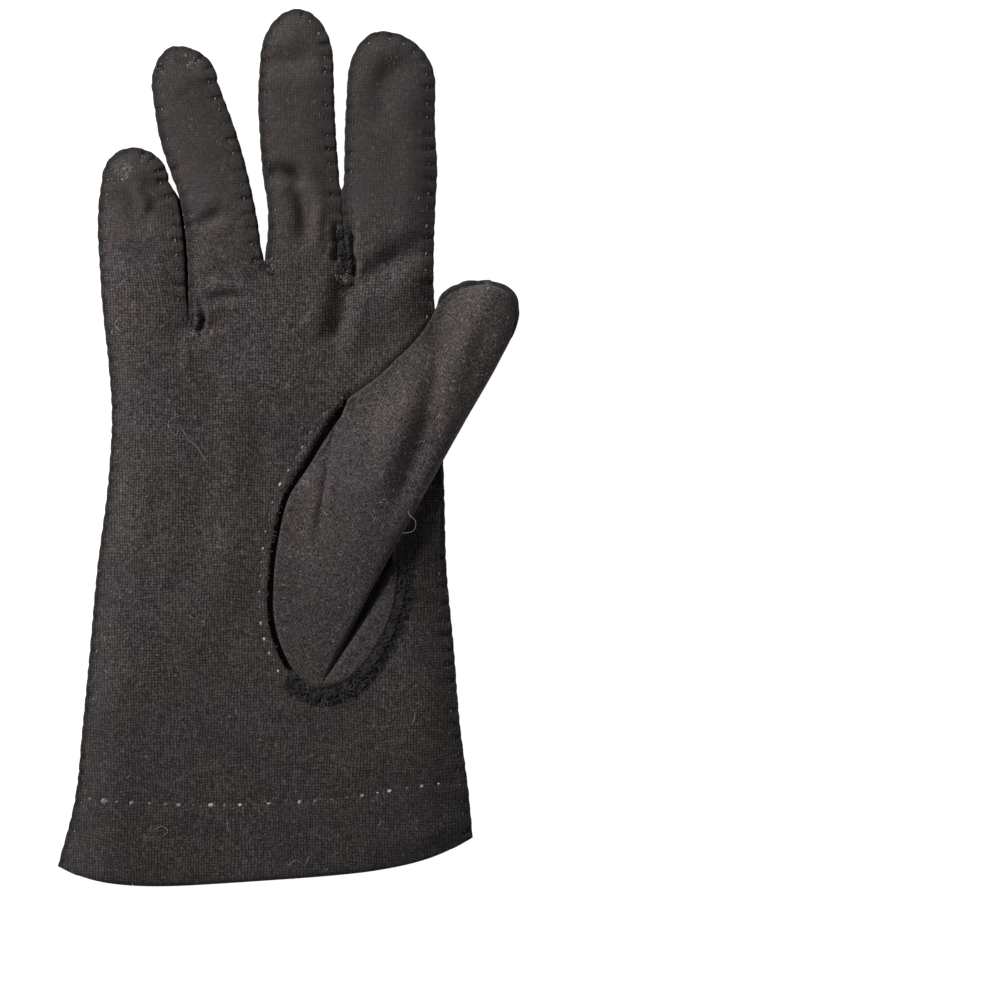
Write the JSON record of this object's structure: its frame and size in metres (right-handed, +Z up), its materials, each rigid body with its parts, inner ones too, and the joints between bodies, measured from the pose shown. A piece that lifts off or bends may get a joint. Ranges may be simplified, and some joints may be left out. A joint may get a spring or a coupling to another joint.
{
  "type": "evening glove",
  "caption": "Short fabric evening glove lying palm up, open at the cuff, with fourchettes between the fingers and a set-in thumb folded over the palm.",
  "frame": {"origin": "on the surface it lies on, under the middle of the glove's box", "axes": "+Z up, palm side up; +Y from the cuff to the fingertips; +X towards the thumb"},
  "size_m": [0.1235, 0.2366, 0.0177],
  "materials": {
    "palm_knit": "fine double knit in charcoal black, matt, with a faint lengthwise rib",
    "back_knit": "the same double knit, the face it rests on",
    "fourchette_knit": "the same double knit, cut in narrow strips",
    "thumb_knit": "the same double knit, cut on another grain, a little rougher",
    "hem_knit": "the same double knit, wrong side out, turned in as a hem"
  },
  "bodies": {
    "root": {"palm_panel": "palm_knit", "back_panel": "back_knit", "fourchette_little_ring": "fourchette_knit", "fourchette_ring_middle": "fourchette_knit", "fourchette_middle_index": "fourchette_knit", "thumb": "thumb_knit", "palm_hem": "hem_knit", "back_hem": "hem_knit"}
  },
  "joints": []
}
